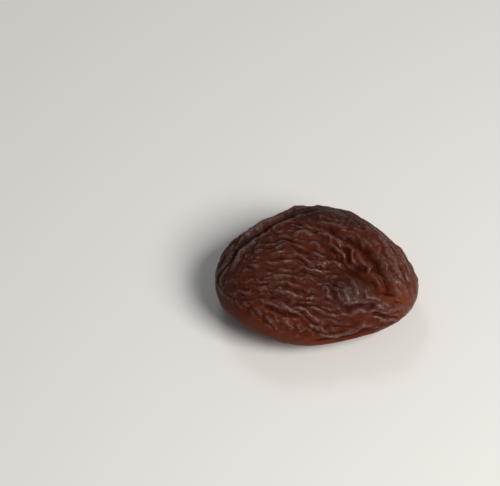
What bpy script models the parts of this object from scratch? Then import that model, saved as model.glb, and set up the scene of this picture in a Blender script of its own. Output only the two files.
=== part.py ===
"""A dried apricot: one whole fruit, pitted, sun-dried and pressed flat, lying on its broad side.

Millimetres are the working unit and the finished mesh is scaled to metres. +X runs along the fruit's
length, +Y across its width and +Z up, with the origin where the middle of its foot touches the surface.
"""

import math

import bmesh
import bpy
import numpy as np
from mathutils import Vector, noise
from mathutils.bvhtree import BVHTree

MM = 0.001

# Driving dimensions of the flattened fruit
LENGTH = 43.0
WIDTH = 35.4
CROWN_HEIGHT = 8.6
BELLY_HEIGHT = 7.4
FOOT_DEPTH = 0.35
# How square the crown and the belly are in section: 2 is round
CROWN_FULLNESS = 2.8
BELLY_FULLNESS = 2.1

# How the outline departs from an oval: (times round, share of the radius, angle of a high point)
OUTLINE_WAVES = ((1, 0.036, 88.0), (2, 0.004, 50.0), (3, 0.052, -23.5), (4, 0.024, -15.0))
# How far the widest line of the rim rises and falls: (times round, mm, angle of a high point)
RIM_WAVES = ((1, 0.4, 250.0), (2, 0.6, 20.0), (3, 0.3, 100.0), (4, 0.4, 45.0))

# Broad hollows and mounds on the crown: (x, y, radius along x, radius along y, rise)
CROWN_FORMS = (
    (6.5, -2.5, 9.0, 6.5, -2.4),
    (-8.0, 1.0, 9.0, 8.0, -0.4),
    (7.2, -9.4, 3.7, 3.4, 1.2),
)

# The crown's folds are drawn as the eye meets them from in front, this far above the horizon. Each point
# is (across, up) from the middle of what the eye sees, and rises are negative for creases.
EYE_ELEVATION = 50.0
EYE_CENTRE = (0.5, 0.4)
# (rise, half width, points)
CROWN_FOLDS = (
    # the puffed rim on the right, its inner groove, and the bare channel that runs into it from the middle
    (1.0, 2.4, (
        (-4, 14.2), (0.5, 13.9), (5, 12.6), (10, 10.3),
        (13.9, 7.1), (16.6, 3.4), (18.6, -0.8), (19.8, -3.8),
    )),
    (-0.9, 0.9, (
        (-3, 12.3), (2.7, 10.4), (6.5, 8.4), (9.7, 6.3), (12, 3.6), (13.6, 0.6), (15.5, -2.6), (18, -5.2),
    )),
    (-0.9, 1.5, ((3.3, 2.3), (6.5, 1.7), (9.7, 0.2), (12.5, -1.4), (15.5, -3.4), (18.3, -5.2))),
    # the lip of the under half behind the far left edge, the slit inside it, and the edge of the upper half
    (0.7, 0.8, (
        (-21.9, 0.5), (-20.8, 3.1), (-19.3, 5.5), (-17, 8), (-14, 9.6),
        (-11.5, 11.3), (-8.6, 12.8), (-5, 14.3), (0.8, 15.3), (5.0, 14.6),
    )),
    (-1.1, 0.85, (
        (-20.4, 1.3), (-18.3, 3.9), (-16.8, 6.2), (-14.7, 8.3),
        (-12.4, 9.9), (-9.4, 11.7), (-6.4, 13.2), (-3.3, 14.1), (0.3, 14.3), (3.2, 13.9),
    )),
    (0.4, 0.9, ((-18.1, 1.3), (-17.6, 3.4), (-16.4, 5.2), (-14.8, 6.9), (-12.2, 8.6))),
    (0.3, 0.35, (
        (-20.6, 2.4), (-19.0, 5.0), (-17.0, 7.7), (-14.8, 9.8), (-12.0, 11.4), (-9.0, 12.8), (-6.0, 14.0),
    )),
    # the small hooked wrinkle near the slit
    (0.35, 0.4, ((-7.1, 11.6), (-8.5, 11.3), (-9.2, 10.5), (-8.0, 9.8), (-6.5, 10.3))),
    # long wrinkles of the left and middle
    (-0.4, 0.4, ((-5.6, 11.6), (-4.1, 11.9), (-2.6, 11.0), (-0.5, 10.0), (1.2, 9.0))),
    (0.3, 0.4, ((-5.2, 9.2), (-3.3, 9.8), (-1.5, 9.6))),
    (-0.4, 0.4, ((-12.4, 7.9), (-10.2, 7.8), (-7.9, 8.4), (-4.8, 7.9), (-2.5, 7.6))),
    (-0.4, 0.4, ((-9.0, 6.4), (-5.6, 6.9), (-4.1, 6.3), (-2.6, 5.4), (-0.5, 4.9))),
    (0.35, 0.4, (
        (-12.0, 5.3), (-8.5, 5.3), (-5.5, 5.7), (-3.6, 5.0), (-2.0, 3.9), (0.3, 3.4), (3.5, 3.2),
    )),
    (-0.55, 0.4, (
        (-11.5, 4.4), (-7.9, 4.2), (-4.8, 4.7), (-3.2, 3.9), (-1.7, 2.8), (0.8, 2.1), (4.0, 2.3),
    )),
    (0.35, 0.4, ((-12.5, 3.3), (-9.0, 3.3), (-6.0, 3.6), (-3.6, 2.6), (-2.0, 1.9), (0.8, 1.3), (3.5, 1.2))),
    (-0.4, 0.4, ((-13.5, 2.2), (-8.6, 1.6), (-6.4, 1.1), (-3.3, 1.3), (-1.0, 0.9), (1.5, 0.4))),
    (0.3, 0.4, ((-14.0, 1.0), (-10.5, 0.9), (-7.5, 0.3), (-4.5, 0.3), (-1.5, 0.0), (0.5, -0.6))),
    (-0.4, 0.4, (
        (-14.5, -0.5), (-12.4, -1.2), (-10.2, -1.1), (-7.1, -1.4), (-4.8, -2.1), (-2.6, -3.0), (0.8, -3.7),
    )),
    (0.3, 0.4, ((-14.8, -2.0), (-12.5, -2.4), (-9.5, -2.2), (-6.5, -2.9), (-4.0, -3.7), (-1.0, -4.6))),
    (-0.35, 0.4, (
        (-15.2, -3.4), (-12.8, -4.0), (-10.0, -3.9), (-7.5, -4.3), (-5.0, -5.0), (-1.5, -5.6), (2.0, -5.8),
    )),
    (0.3, 0.4, ((-14.0, -4.6), (-11.0, -5.2), (-8.0, -5.8), (-5.2, -6.2), (-2.0, -6.6), (1.0, -6.8))),
    (-0.5, 0.4, ((-13.0, -4.9), (-11.0, -5.7), (-9.2, -6.5), (-7.1, -7.5), (-5.2, -7.9), (-3.6, -7.4))),
    # folds between the middle and the upper rim
    (0.55, 0.6, ((2.4, 9.0), (3.4, 6.8), (5.0, 5.4), (6.1, 4.0))),
    (0.6, 0.5, ((7.1, 6.8), (7.5, 5.0), (8.2, 3.4), (8.8, 2.2))),
    (-0.4, 0.5, ((5.6, 7.9), (6.2, 6.0), (6.9, 4.2), (7.2, 2.8))),
    (0.5, 0.45, ((9.6, 4.8), (9.8, 3.9), (10.2, 2.6))),
    (0.45, 0.4, ((10.4, 2.0), (11.6, 1.7))),
    (0.35, 0.5, ((-0.9, 4.6), (0.5, 4.4), (2.1, 3.4), (3.9, 3.1), (5.4, 2.7))),
    # the dark mound over the pit's hollow: its hood, a ridge on it, and the creases beside and under it
    (0.35, 0.5, ((1.4, -0.9), (3.2, 0.2), (5.4, 0.5), (6.9, 0.3), (7.7, -0.9), (8.2, -2.6), (8.3, -4.1))),
    (0.2, 0.5, ((5.2, -1.8), (6.0, -3.4), (7.0, -5.6))),
    (0.25, 0.4, ((9.8, -1.8), (10.3, -3.2), (10.2, -4.6))),
    (-0.4, 0.5, ((2.9, -1.8), (3.1, -3.4), (3.9, -5.0), (5.6, -6.3))),
    (-0.65, 0.6, ((4.2, -6.2), (5.6, -6.5), (7.2, -6.3), (8.9, -5.9), (11.3, -5.5), (13.2, -5.0))),
    (0.25, 0.5, ((4.2, -7.4), (6.0, -7.3), (8.6, -6.8), (11.4, -6.3), (14.0, -6.0))),
    # knotted skin left of the mound
    (0.35, 0.4, ((1.2, -0.3), (2.1, 0.5), (3.3, 0.4), (4.2, -0.2))),
    (0.35, 0.4, ((0.4, -2.4), (1.4, -2.0), (2.4, -2.6), (2.0, -3.4))),
    (-0.35, 0.4, ((0.8, -1.2), (2.2, -0.9), (3.4, -1.5), (4.6, -1.4))),
    # creases that gather at the right, towards the stalk end
    (-0.5, 0.4, ((11.0, -7.4), (13.7, -7.7), (15.6, -8.1), (17.2, -8.3))),
    (0.3, 0.4, ((12.4, -8.8), (14.5, -8.5), (16.0, -8.7), (17.2, -8.9))),
    (0.3, 0.4, ((14.2, -6.5), (16.1, -6.2), (17.9, -6.4))),
    (-0.35, 0.4, ((13.0, -9.7), (14.8, -9.6), (16.2, -9.6))),
    # ridges along the right rim
    (0.2, 0.5, ((12.6, 8.2), (14.5, 5.9), (16.0, 3.0), (17.0, 0.2), (18.0, -2.2))),
    (0.2, 0.5, ((16.6, 6.6), (18.2, 4.0), (19.2, 1.4), (20.3, -0.6))),
    (-0.2, 0.5, ((14.0, 8.0), (16.2, 5.0), (17.6, 2.0), (18.9, -1.2), (19.6, -4.0))),
    # short folds along the front edge of the crown, and the long fold over the plain front side
    (0.35, 0.5, ((-15.6, -4.8), (-14.6, -6.4))),
    (0.35, 0.5, ((-13.3, -6.0), (-12.0, -7.8))),
    (0.35, 0.5, ((-11.4, -7.6), (-9.6, -9.6))),
    (0.35, 0.5, ((-9.4, -7.7), (-7.7, -9.9))),
    (0.35, 0.5, ((-7.0, -8.8), (-5.4, -10.7))),
    (0.35, 0.5, ((-4.6, -9.2), (-3.0, -11.1))),
    (0.35, 0.5, ((-2.0, -9.0), (-1.2, -10.9))),
    (0.35, 0.5, ((0.4, -9.2), (1.0, -10.6), (2.4, -11.0))),
    (0.5, 0.7, (
        (-0.5, -11.7), (2.0, -11.9), (4.2, -11.7), (6.3, -11.0), (8.3, -10.4), (10.6, -9.8), (13.0, -9.6),
    )),
    (-0.5, 0.7, ((-3.0, -12.8), (0.8, -13.0), (4.2, -12.9), (7.2, -12.2), (10.0, -11.2), (13.0, -10.6))),
)

# Folds of the far side and the belly: each point is (degrees round the fruit, degrees down from the top)
HIDDEN_FOLDS = (
    # the lip and slit run on round the back to the stalk end
    (0.4, 0.9, ((96, 66), (80, 70), (62, 76), (44, 81), (28, 85), (14, 88))),
    (-0.9, 0.5, ((104, 55), (90, 58), (72, 64), (54, 71), (36, 77), (22, 82), (12, 86))),
    # creases that fan out over the belly from the stalk end
    (-0.8, 0.6, ((-22, 108), (-27, 118), (-38, 129), (-62, 138), (-100, 140))),
    (-1.0, 0.7, ((-14, 108), (-4, 120), (12, 134), (60, 148), (130, 140), (158, 124))),
    (-0.8, 0.6, ((-6, 106), (12, 112), (32, 120), (56, 124), (86, 122))),
    (-0.7, 0.6, ((-30, 110), (-42, 120), (-60, 131), (-80, 135), (-104, 133))),
    (0.6, 0.7, ((-18, 110), (-14, 125), (-10, 140), (-40, 158))),
    (0.6, 0.7, ((0, 108), (16, 120), (38, 132), (74, 138), (112, 132))),
    (0.5, 0.7, ((-34, 116), (-50, 127), (-74, 139), (-110, 141), (-136, 131))),
    # creases of the far end of the belly
    (-0.8, 0.6, ((178, 96), (186, 110), (196, 126), (228, 144))),
    (-0.7, 0.6, ((164, 98), (158, 110), (142, 122), (118, 128))),
    (0.6, 0.6, ((171, 96), (170, 112), (168, 128), (150, 146))),
    (-0.7, 0.5, ((200, 96), (210, 108), (226, 118), (244, 122))),
    (0.5, 0.6, ((192, 98), (202, 112), (220, 128), (250, 134))),
)

# Below this line of the view the front side is plain: (across, up)
PLAIN_FRONT_EDGE = (
    (-20, -3), (-15, -6.5), (-12, -8.3), (-9.5, -10), (-5, -11.3), (4, -12), (10, -10.6), (20, -8.5),
)
# Plainer patches: (across, up, radius across, radius up, share of the wrinkles lost)
PLAIN_PATCHES = (
    # the shoulders at both ends
    (-18.4, -0.5, 2.2, 5.0, 0.7), (21.0, -5.5, 3.2, 5.5, 0.7),
    # the bare channel and the groove that it runs into
    (9.5, 0.6, 3.6, 1.3, 0.9), (14.0, -2.4, 3.6, 1.6, 0.9), (11.5, 4.2, 2.2, 2.2, 0.7),
    # the far rim, where only fine crinkles show
    (-14.5, 10.5, 6.5, 2.6, 0.7), (2.0, 15.2, 12.0, 1.8, 0.8), (15.5, 9.8, 4.5, 3.0, 0.6),
    (21.5, 1.5, 2.0, 4.0, 0.6),
    # the smooth top of the mound and the plain skin below it
    (7.2, -3.0, 3.8, 2.8, 0.75), (9.5, -8.4, 7.0, 1.9, 0.8),
)
# How much of the wrinkles the plain front side loses, and how softly it sets in
PLAINNESS = 0.85
PLAIN_BLEND = 1.8
# Heights between which the plain front side and the plain patches end
FRONT_SIDE_ENDS = (-7.0, -5.5)
PATCHES_END = (-4.0, -1.0)

# How far a fold reaches and where a crease's raised shoulders stand, in half widths
FOLD_REACH = 3.2
SHOULDER_PLACE = 1.9
SHOULDER_SHARE = 0.25
# How blunt the bottom of a crease is: 2 is round, and less is sharper
CREASE_POWER = 1.4

# How far folds and wrinkles wander, how far it is from bend to bend, and how much their strength varies
WANDER_SEED = 7
WOBBLE = 0.55
BEND = 2.4
UNEVENNESS = 1.0
# Folds of this half width or less vary fully, and wider ones less
NARROW = 0.4

# Finer skin wrinkles: short runs of waves at seeded places, each lying along the folds round it
WRINKLE_SEED = 5
WRINKLE_PLACES = 2600
WRINKLE_PITCH = 1.7
WRINKLE_RISE = 0.27
WRINKLE_LENGTH = 1.7
WRINKLE_BREADTH = 1.0
# How blunt the creases between wrinkles are: 0 is sharp
CREASE_SOFTNESS = 0.03
# How far any one run may be turned from the way of its neighbours, in radians
WRINKLE_TURN = 0.35
# The height between crease and crest that counts as level
WRINKLE_LEVEL = 0.6
# Away from the drawn folds the wrinkles run lengthwise, sway by up to this much and gather at both ends
SWAY = 1.3
SWAY_SIZE = 7.5
SIDEWAYS_DRIFT = -0.12
END_DROP = 0.4
END_SPREAD = 6.0
# How far a drawn fold turns the wrinkles beside it, and how firmly they keep to their own way
FOLD_PULL = 1.8
OWN_PULL = 1.5

# How much the belly's folds and wrinkles fade towards the foot: (radius of none, radius of all)
FOLDS_AT_FOOT = (4.0, 9.0)
WRINKLES_AT_FOOT = (5.0, 12.0)

# Squares along each side of the cube that the skin is drawn on, and triangles left at the end
GRID = 100
TRIANGLES = 11200
# How much the grid is drawn in towards the rim, where the skin turns fastest
RIM_GATHER = 0.18


def cube_ball(cells):
    """A cube with each side cut into cells x cells squares, as (bmesh, unit directions of its vertices)."""
    net = bmesh.new()
    bmesh.ops.create_cube(net, size=2.0)
    bmesh.ops.subdivide_edges(net, edges=net.edges[:], cuts=cells - 1, use_grid_fill=True)
    corners = np.array([vertex.co for vertex in net.verts])
    spread = np.tan(corners * math.pi / 4)
    return net, spread / np.linalg.norm(spread, axis=1)[:, None]


def round_the_fruit(angle, waves):
    """The sum of a few waves round the fruit."""
    return sum(size * np.cos(times * (angle - math.radians(high))) for times, size, high in waves)


def smooth_form(directions):
    """The fruit with no wrinkles: a flattened oval cushion with a sunken crown."""
    angle = np.arctan2(directions[:, 1], directions[:, 0])
    fall = np.arccos(np.clip(directions[:, 2], -1, 1))
    fall = fall - RIM_GATHER * np.sin(2 * fall)
    reach = np.sin(fall)
    oval = 1 / np.hypot(np.cos(angle) / (LENGTH / 2), np.sin(angle) / (WIDTH / 2))
    radius = oval * (1 + round_the_fruit(angle, OUTLINE_WAVES))
    x = radius * reach * np.cos(angle)
    y = radius * reach * np.sin(angle)
    fullness = np.where(fall < math.pi / 2, CROWN_FULLNESS, BELLY_FULLNESS)
    dome = np.sqrt(np.clip(1 - reach**fullness, 0, 1))
    z = np.where(fall < math.pi / 2, CROWN_HEIGHT, -BELLY_HEIGHT) * dome
    z += round_the_fruit(angle, RIM_WAVES) * reach**2
    above = np.clip(np.cos(fall), 0, 1) ** 0.5
    for cx, cy, rx, ry, rise in CROWN_FORMS:
        z += rise * above * np.exp(-(((x - cx) / rx) ** 2) - ((y - cy) / ry) ** 2)
    return np.stack([x, y, z], axis=1)


def normals_of(directions):
    """Unit outward normals of the smooth form, from small steps round each direction."""
    nudge = 0.004
    helper = np.where(np.abs(directions[:, 2:]) < 0.7, [[0.0, 0.0, 1.0]], [[1.0, 0.0, 0.0]])
    side = np.cross(directions, helper)
    side /= np.linalg.norm(side, axis=1)[:, None]
    other = np.cross(directions, side)

    def slope(way):
        ahead = directions + nudge * way
        behind = directions - nudge * way
        ahead /= np.linalg.norm(ahead, axis=1)[:, None]
        behind /= np.linalg.norm(behind, axis=1)[:, None]
        return smooth_form(ahead) - smooth_form(behind)

    normal = np.cross(slope(side), slope(other))
    return normal / np.linalg.norm(normal, axis=1)[:, None]


def step(low, high, values):
    """0 below low, 1 above high and a smooth rise between."""
    share = np.clip((values - low) / (high - low), 0, 1)
    return share * share * (3 - 2 * share)


def wobbled(places):
    """The places moved a little to and fro, so that nothing drawn over them runs quite straight."""
    noise.seed_set(WANDER_SEED)
    return places + WOBBLE * np.array([noise.noise_vector(Vector(place / BEND)) for place in places])


def uneven(places):
    """A share round 1 for each place, so that no fold or wrinkle is equally strong all along."""
    return 1 + UNEVENNESS * np.array([noise.noise(Vector(place / BEND)) for place in places])


def eye_axes():
    """The eye's right, up and line of sight."""
    tilt = math.radians(EYE_ELEVATION)
    right = np.array([1.0, 0.0, 0.0])
    up = np.array([0.0, math.sin(tilt), math.cos(tilt)])
    sight = np.array([0.0, math.cos(tilt), -math.sin(tilt)])
    return right, up, sight


def smooth_line(points, spacing=0.35):
    """Points every spacing mm or so along a Catmull-Rom curve through the given ones."""
    points = np.array(points, float)
    padded = np.vstack([2 * points[0] - points[1], points, 2 * points[-1] - points[-2]])
    line = []
    for a, b, c, d in zip(padded, padded[1:], padded[2:], padded[3:]):
        count = max(2, int(np.linalg.norm(c - b) / spacing))
        t = np.linspace(0, 1, count, endpoint=False)[:, None]
        bend = (2 * a - 5 * b + 4 * c - d) * t**2 + (3 * b - 3 * c + d - a) * t**3
        line.append(b + 0.5 * ((c - a) * t + bend))
    return np.vstack([*line, points[-1:]])


def dropped_on(tree, flat):
    """Points drawn in the eye's plane, moved along the line of sight onto the smooth form."""
    right, up, sight = eye_axes()
    landed = []
    for across, rise in flat + np.array(EYE_CENTRE):
        start = right * across + up * rise
        hit = tree.ray_cast(Vector(start - 100 * sight), Vector(sight))[0]
        landed.append(hit or tree.find_nearest(Vector(start))[0])
    return np.array(landed)


def round_and_down(degrees):
    """Points of the smooth form at the given angles round the fruit and down from the top."""
    around, down = np.radians(degrees).T
    down = down + RIM_GATHER * np.sin(2 * down)
    flat = np.sin(down)
    return smooth_form(np.stack([flat * np.cos(around), flat * np.sin(around), np.cos(down)], axis=1))


def lay_folds():
    """Each fold as (rise, half width, points on the smooth form, share of the rise at each point)."""
    net, directions = cube_ball(96)
    bmesh.ops.triangulate(net, faces=net.faces[:])
    places = smooth_form(directions)
    tree = BVHTree.FromPolygons(places.tolist(), [[v.index for v in face.verts] for face in net.faces])
    net.free()
    lines = [dropped_on(tree, smooth_line(points, 0.25)) for _, _, points in CROWN_FOLDS]
    lines += [round_and_down(smooth_line(points, 0.8)) for _, _, points in HIDDEN_FOLDS]
    laid = []
    for (rise, half_width, _), line in zip(CROWN_FOLDS + HIDDEN_FOLDS, lines):
        along = np.linspace(0, 1, len(line))
        share = step(0.0, 0.25, np.minimum(along, 1 - along))
        share *= 1 + (uneven(line) - 1) * min(1.0, NARROW / half_width) ** 2
        laid.append((rise, half_width, line, share))
    return laid


def fold_relief(places, folds):
    """How far the folds lift or sink each place."""
    relief = np.zeros(len(places))
    for rise, half_width, line, share in folds:
        reach = FOLD_REACH * half_width
        inside = ((places > line.min(0) - reach) & (places < line.max(0) + reach)).all(1)
        near = np.flatnonzero(inside)
        if not len(near):
            continue
        run = np.gradient(line, axis=0)
        run /= np.linalg.norm(run, axis=1)[:, None]
        closest = ((places[near, None] - line[None]) ** 2).sum(2).argmin(1)
        offset = places[near] - line[closest]
        past = np.clip((offset * run[closest]).sum(1), -0.4, 0.4)
        away = np.sqrt(np.clip((offset**2).sum(1) - past**2, 0, None)) / half_width
        ridge = np.exp(-(away**2))
        crease = np.exp(-(away**CREASE_POWER)) - SHOULDER_SHARE * np.exp(-2 * (away - SHOULDER_PLACE) ** 2)
        shape = ridge if rise > 0 else crease
        relief[near] += rise * share[closest] * shape
    return relief


def spread_evenly(count):
    """That many unit directions, evenly spread along a spiral from top to bottom."""
    height = 1 - (2 * np.arange(count) + 1) / count
    around = math.pi * (3 - math.sqrt(5)) * np.arange(count)
    ring = np.sqrt(1 - height**2)
    return np.stack([ring * np.cos(around), ring * np.sin(around), height], axis=1)


def wrinkle_grain(places, normals, folds):
    """The way that wrinkles run at each place: lengthwise, turned along the drawn folds near it."""
    lines = np.vstack([line for _, _, line, _ in folds])
    runs = np.vstack([np.gradient(line, axis=0) for _, _, line, _ in folds])
    runs /= np.linalg.norm(runs, axis=1)[:, None] + 1e-9
    drop = -END_DROP * np.tanh(places[:, 0] / END_SPREAD)
    lengthwise = np.stack([np.ones(len(places)), np.full(len(places), SIDEWAYS_DRIFT), drop], axis=1)
    lengthwise -= normals * (lengthwise * normals).sum(1)[:, None]
    lengthwise /= np.linalg.norm(lengthwise, axis=1)[:, None] + 1e-9
    grain = np.empty_like(places)
    for i, (place, normal, own) in enumerate(zip(places, normals, lengthwise)):
        weight = np.exp(-((lines - place) ** 2).sum(1) / (2 * FOLD_PULL**2))
        pull = (runs * weight[:, None]).T @ runs
        sway = SWAY * noise.noise(Vector(place / SWAY_SIZE))
        own = own * math.cos(sway) + np.cross(normal, own) * math.sin(sway)
        flat = np.eye(3) - np.outer(normal, normal)
        way = np.linalg.eigh(flat @ (pull + OWN_PULL * np.outer(own, own)) @ flat)[1][:, -1]
        grain[i] = way * np.copysign(1.0, way @ own)
    return grain


def wrinkle_field(folds):
    """Seeded places on the skin, each with its wave: (places, along, across, pitches, phases)."""
    draw = np.random.default_rng(WRINKLE_SEED)
    directions = spread_evenly(WRINKLE_PLACES)
    places = smooth_form(directions)
    normals = normals_of(directions)
    turn = draw.uniform(-WRINKLE_TURN, WRINKLE_TURN, WRINKLE_PLACES)[:, None]
    grain = wrinkle_grain(places, normals, folds)
    along = grain * np.cos(turn) + np.cross(normals, grain) * np.sin(turn)
    across = np.cross(normals, along)
    pitch = 2 * WRINKLE_PITCH * draw.uniform(0.8, 1.3, WRINKLE_PLACES)
    phase = draw.uniform(0, 2 * math.pi, WRINKLE_PLACES)
    return places, along, across, pitch, phase


def wrinkle_relief(places, field):
    """Rounded wrinkles with sharp creases between them, from 0 to about 1."""
    total = np.zeros(len(places))
    energy = np.full(len(places), 1e-3)
    reach = 2.4 * WRINKLE_LENGTH
    for spot, along, across, pitch, phase in zip(*field):
        near = np.flatnonzero((np.abs(places - spot) < reach).all(1))
        offset = places[near] - spot
        run = offset @ along / WRINKLE_LENGTH
        side = offset @ across
        depth = (offset**2).sum(1) - (run * WRINKLE_LENGTH) ** 2 - side**2
        weight = np.exp(-0.5 * (run**2 + (side / WRINKLE_BREADTH) ** 2 + np.clip(depth, 0, None)))
        total[near] += weight * np.cos(2 * math.pi * side / pitch + phase)
        energy[near] += weight**2
    wave = total / np.sqrt(energy)
    return np.sqrt(wave**2 + CREASE_SOFTNESS)


def belly_fade(places, radii):
    """1 on the crown, and on the belly a rise from 0 at the foot to 1 outside it."""
    from_foot = np.hypot(places[:, 0], LENGTH / WIDTH * places[:, 1])
    return np.where(places[:, 2] < 0, step(*radii, from_foot), 1.0)


def wrinkle_share(places):
    """How strongly the finer wrinkles show: weak on the plain parts, none at the foot."""
    right, up, _ = eye_axes()
    across = places @ right - EYE_CENTRE[0]
    rise = places @ up - EYE_CENTRE[1]
    edge = np.interp(across, *np.transpose(PLAIN_FRONT_EDGE))
    front = step(0.0, PLAIN_BLEND, edge - rise) * step(6.0, 0.0, places[:, 1])
    share = 1 - PLAINNESS * front * step(*FRONT_SIDE_ENDS, places[:, 2])
    for x, y, x_radius, y_radius, loss in PLAIN_PATCHES:
        patch = np.exp(-(((across - x) / x_radius) ** 2) - ((rise - y) / y_radius) ** 2)
        share *= 1 - loss * patch * step(*PATCHES_END, places[:, 2])
    return share * belly_fade(places, WRINKLES_AT_FOOT)


def skin(directions):
    """The wrinkled fruit over the given directions."""
    places = smooth_form(directions)
    normals = normals_of(directions)
    drawn = wobbled(places)
    folds = lay_folds()
    wrinkles = WRINKLE_RISE * (wrinkle_relief(drawn, wrinkle_field(folds)) - WRINKLE_LEVEL)
    relief = fold_relief(drawn, folds) * belly_fade(places, FOLDS_AT_FOOT)
    relief += wrinkles * uneven(places) * wrinkle_share(places)
    return places + normals * relief[:, None]


def flesh_material():
    material = bpy.data.materials.new("dried_flesh")
    material.use_nodes = True
    shader = material.node_tree.nodes["Principled BSDF"]
    shader.inputs["Base Color"].default_value = (0.075, 0.022, 0.014, 1)
    shader.inputs["Roughness"].default_value = 0.45
    shader.inputs["Metallic"].default_value = 0.0
    return material


def thinned(net, keep):
    """The same closed surface in fewer triangles, most of them left on the folds."""
    mesh = bpy.data.meshes.new("fine_skin")
    net.to_mesh(mesh)
    helper = bpy.data.objects.new("fine_skin", mesh)
    bpy.context.scene.collection.objects.link(helper)
    decimate = helper.modifiers.new("fewer triangles", "DECIMATE")
    decimate.ratio = keep
    bpy.context.view_layer.update()
    net.clear()
    net.from_mesh(helper.evaluated_get(bpy.context.evaluated_depsgraph_get()).data)
    bpy.data.objects.remove(helper)


def set_on_foot(net):
    """Cut the belly off flat a little above its lowest point and stand the fruit there, centred."""
    low = min(vertex.co.z for vertex in net.verts) + FOOT_DEPTH * MM
    geometry = net.verts[:] + net.edges[:] + net.faces[:]
    plane = {"plane_co": (0, 0, low), "plane_no": (0, 0, -1)}
    cut = bmesh.ops.bisect_plane(net, geom=geometry, clear_outer=True, **plane)
    edges = [item for item in cut["geom_cut"] if isinstance(item, bmesh.types.BMEdge)]
    bmesh.ops.contextual_create(net, geom=edges)
    corners = np.array([vertex.co for vertex in net.verts])
    middle = (corners.min(0) + corners.max(0)) / 2
    bmesh.ops.translate(net, verts=net.verts[:], vec=(-middle[0], -middle[1], -low))
    for vertex in net.verts:
        if vertex.co.z < 1e-6:
            vertex.co.z = 0.0


def apricot():
    net, directions = cube_ball(GRID)
    for vertex, place in zip(net.verts, skin(directions) * MM):
        vertex.co = place
    bmesh.ops.triangulate(net, faces=net.faces[:])
    thinned(net, TRIANGLES / len(net.faces))
    set_on_foot(net)
    bmesh.ops.recalc_face_normals(net, faces=net.faces[:])
    mesh = bpy.data.meshes.new("apricot")
    net.to_mesh(mesh)
    net.free()
    mesh.shade_smooth()
    mesh.materials.append(flesh_material())
    fruit = bpy.data.objects.new("apricot", mesh)
    bpy.context.scene.collection.objects.link(fruit)
    return fruit


def main():
    for leftover in list(bpy.data.objects):
        bpy.data.objects.remove(leftover)
    apricot()


if __name__ == "__main__":
    main()
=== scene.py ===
# %% [markdown]
# # A dried apricot
#
# This lesson dresses one dried apricot: a whole fruit that had its stone pushed out, dried in the sun until
# it turned dark brown, and was pressed flat. A imported model of it gives the true size and place, and this
# script gives the looks. The fruit grew as one body, so everything you see is one closed mesh. Its form
# comes from formulas and from drawn folds, and its colour comes from shader nodes.

# %% Load the imported model
import math
import time

import bmesh
import bpy
import numpy as np
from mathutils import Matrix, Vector, noise
from mathutils.bvhtree import BVHTree


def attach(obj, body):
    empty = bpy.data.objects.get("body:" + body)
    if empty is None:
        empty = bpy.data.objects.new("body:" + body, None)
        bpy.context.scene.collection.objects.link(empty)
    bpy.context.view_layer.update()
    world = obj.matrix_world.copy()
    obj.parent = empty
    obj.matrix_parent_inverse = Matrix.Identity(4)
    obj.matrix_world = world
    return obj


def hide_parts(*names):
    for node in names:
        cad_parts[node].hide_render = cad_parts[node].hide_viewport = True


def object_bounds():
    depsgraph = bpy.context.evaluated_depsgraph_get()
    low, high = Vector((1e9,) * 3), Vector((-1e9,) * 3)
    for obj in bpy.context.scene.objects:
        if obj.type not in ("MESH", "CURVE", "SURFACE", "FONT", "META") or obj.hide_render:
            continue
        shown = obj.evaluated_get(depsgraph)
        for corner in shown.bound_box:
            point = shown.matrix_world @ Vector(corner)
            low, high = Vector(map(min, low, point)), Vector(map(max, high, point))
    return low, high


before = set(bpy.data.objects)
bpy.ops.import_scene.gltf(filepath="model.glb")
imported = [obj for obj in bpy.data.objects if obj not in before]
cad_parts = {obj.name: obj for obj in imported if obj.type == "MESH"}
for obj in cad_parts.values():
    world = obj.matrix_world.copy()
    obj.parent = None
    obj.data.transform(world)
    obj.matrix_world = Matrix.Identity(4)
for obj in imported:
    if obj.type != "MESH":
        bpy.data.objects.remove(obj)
cad_box = [list(corner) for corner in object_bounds()]
began = time.perf_counter()
MM = 0.001
size = [(high - low) / MM for low, high in zip(*cad_box)]
print("the packed fruit measures", [round(side, 1) for side in size], "mm")

# %% [markdown]
# ## The camera
#
# The fruit lies tilted towards the eye, which meets its broad side at about fifty degrees. Laid level on a
# table, it looks the same to a camera that looks down on it at that angle. A long lens from half a metre
# keeps the far edge as large as the near one. The fruit sits right of the middle of the picture, so the
# camera is aimed a little to its left rather than shifted.

# %% The camera and where it aims
# The picture, and the length and the middle of the fruit in it, in pixels
PICTURE_WIDTH, PICTURE_HEIGHT = 500, 486
FRUIT_PIXELS = 203
FRUIT_MIDDLE = (316.6, 273.0)
# How far above the horizon the eye stands, in degrees, and how far away, in metres
EYE_ELEVATION = 50.0
EYE_DISTANCE = 0.55
# The width of the camera's sensor in millimetres, and the nearest thing that it sees, in metres
SENSOR = 36.0
NEAREST_SEEN = 0.01


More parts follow.
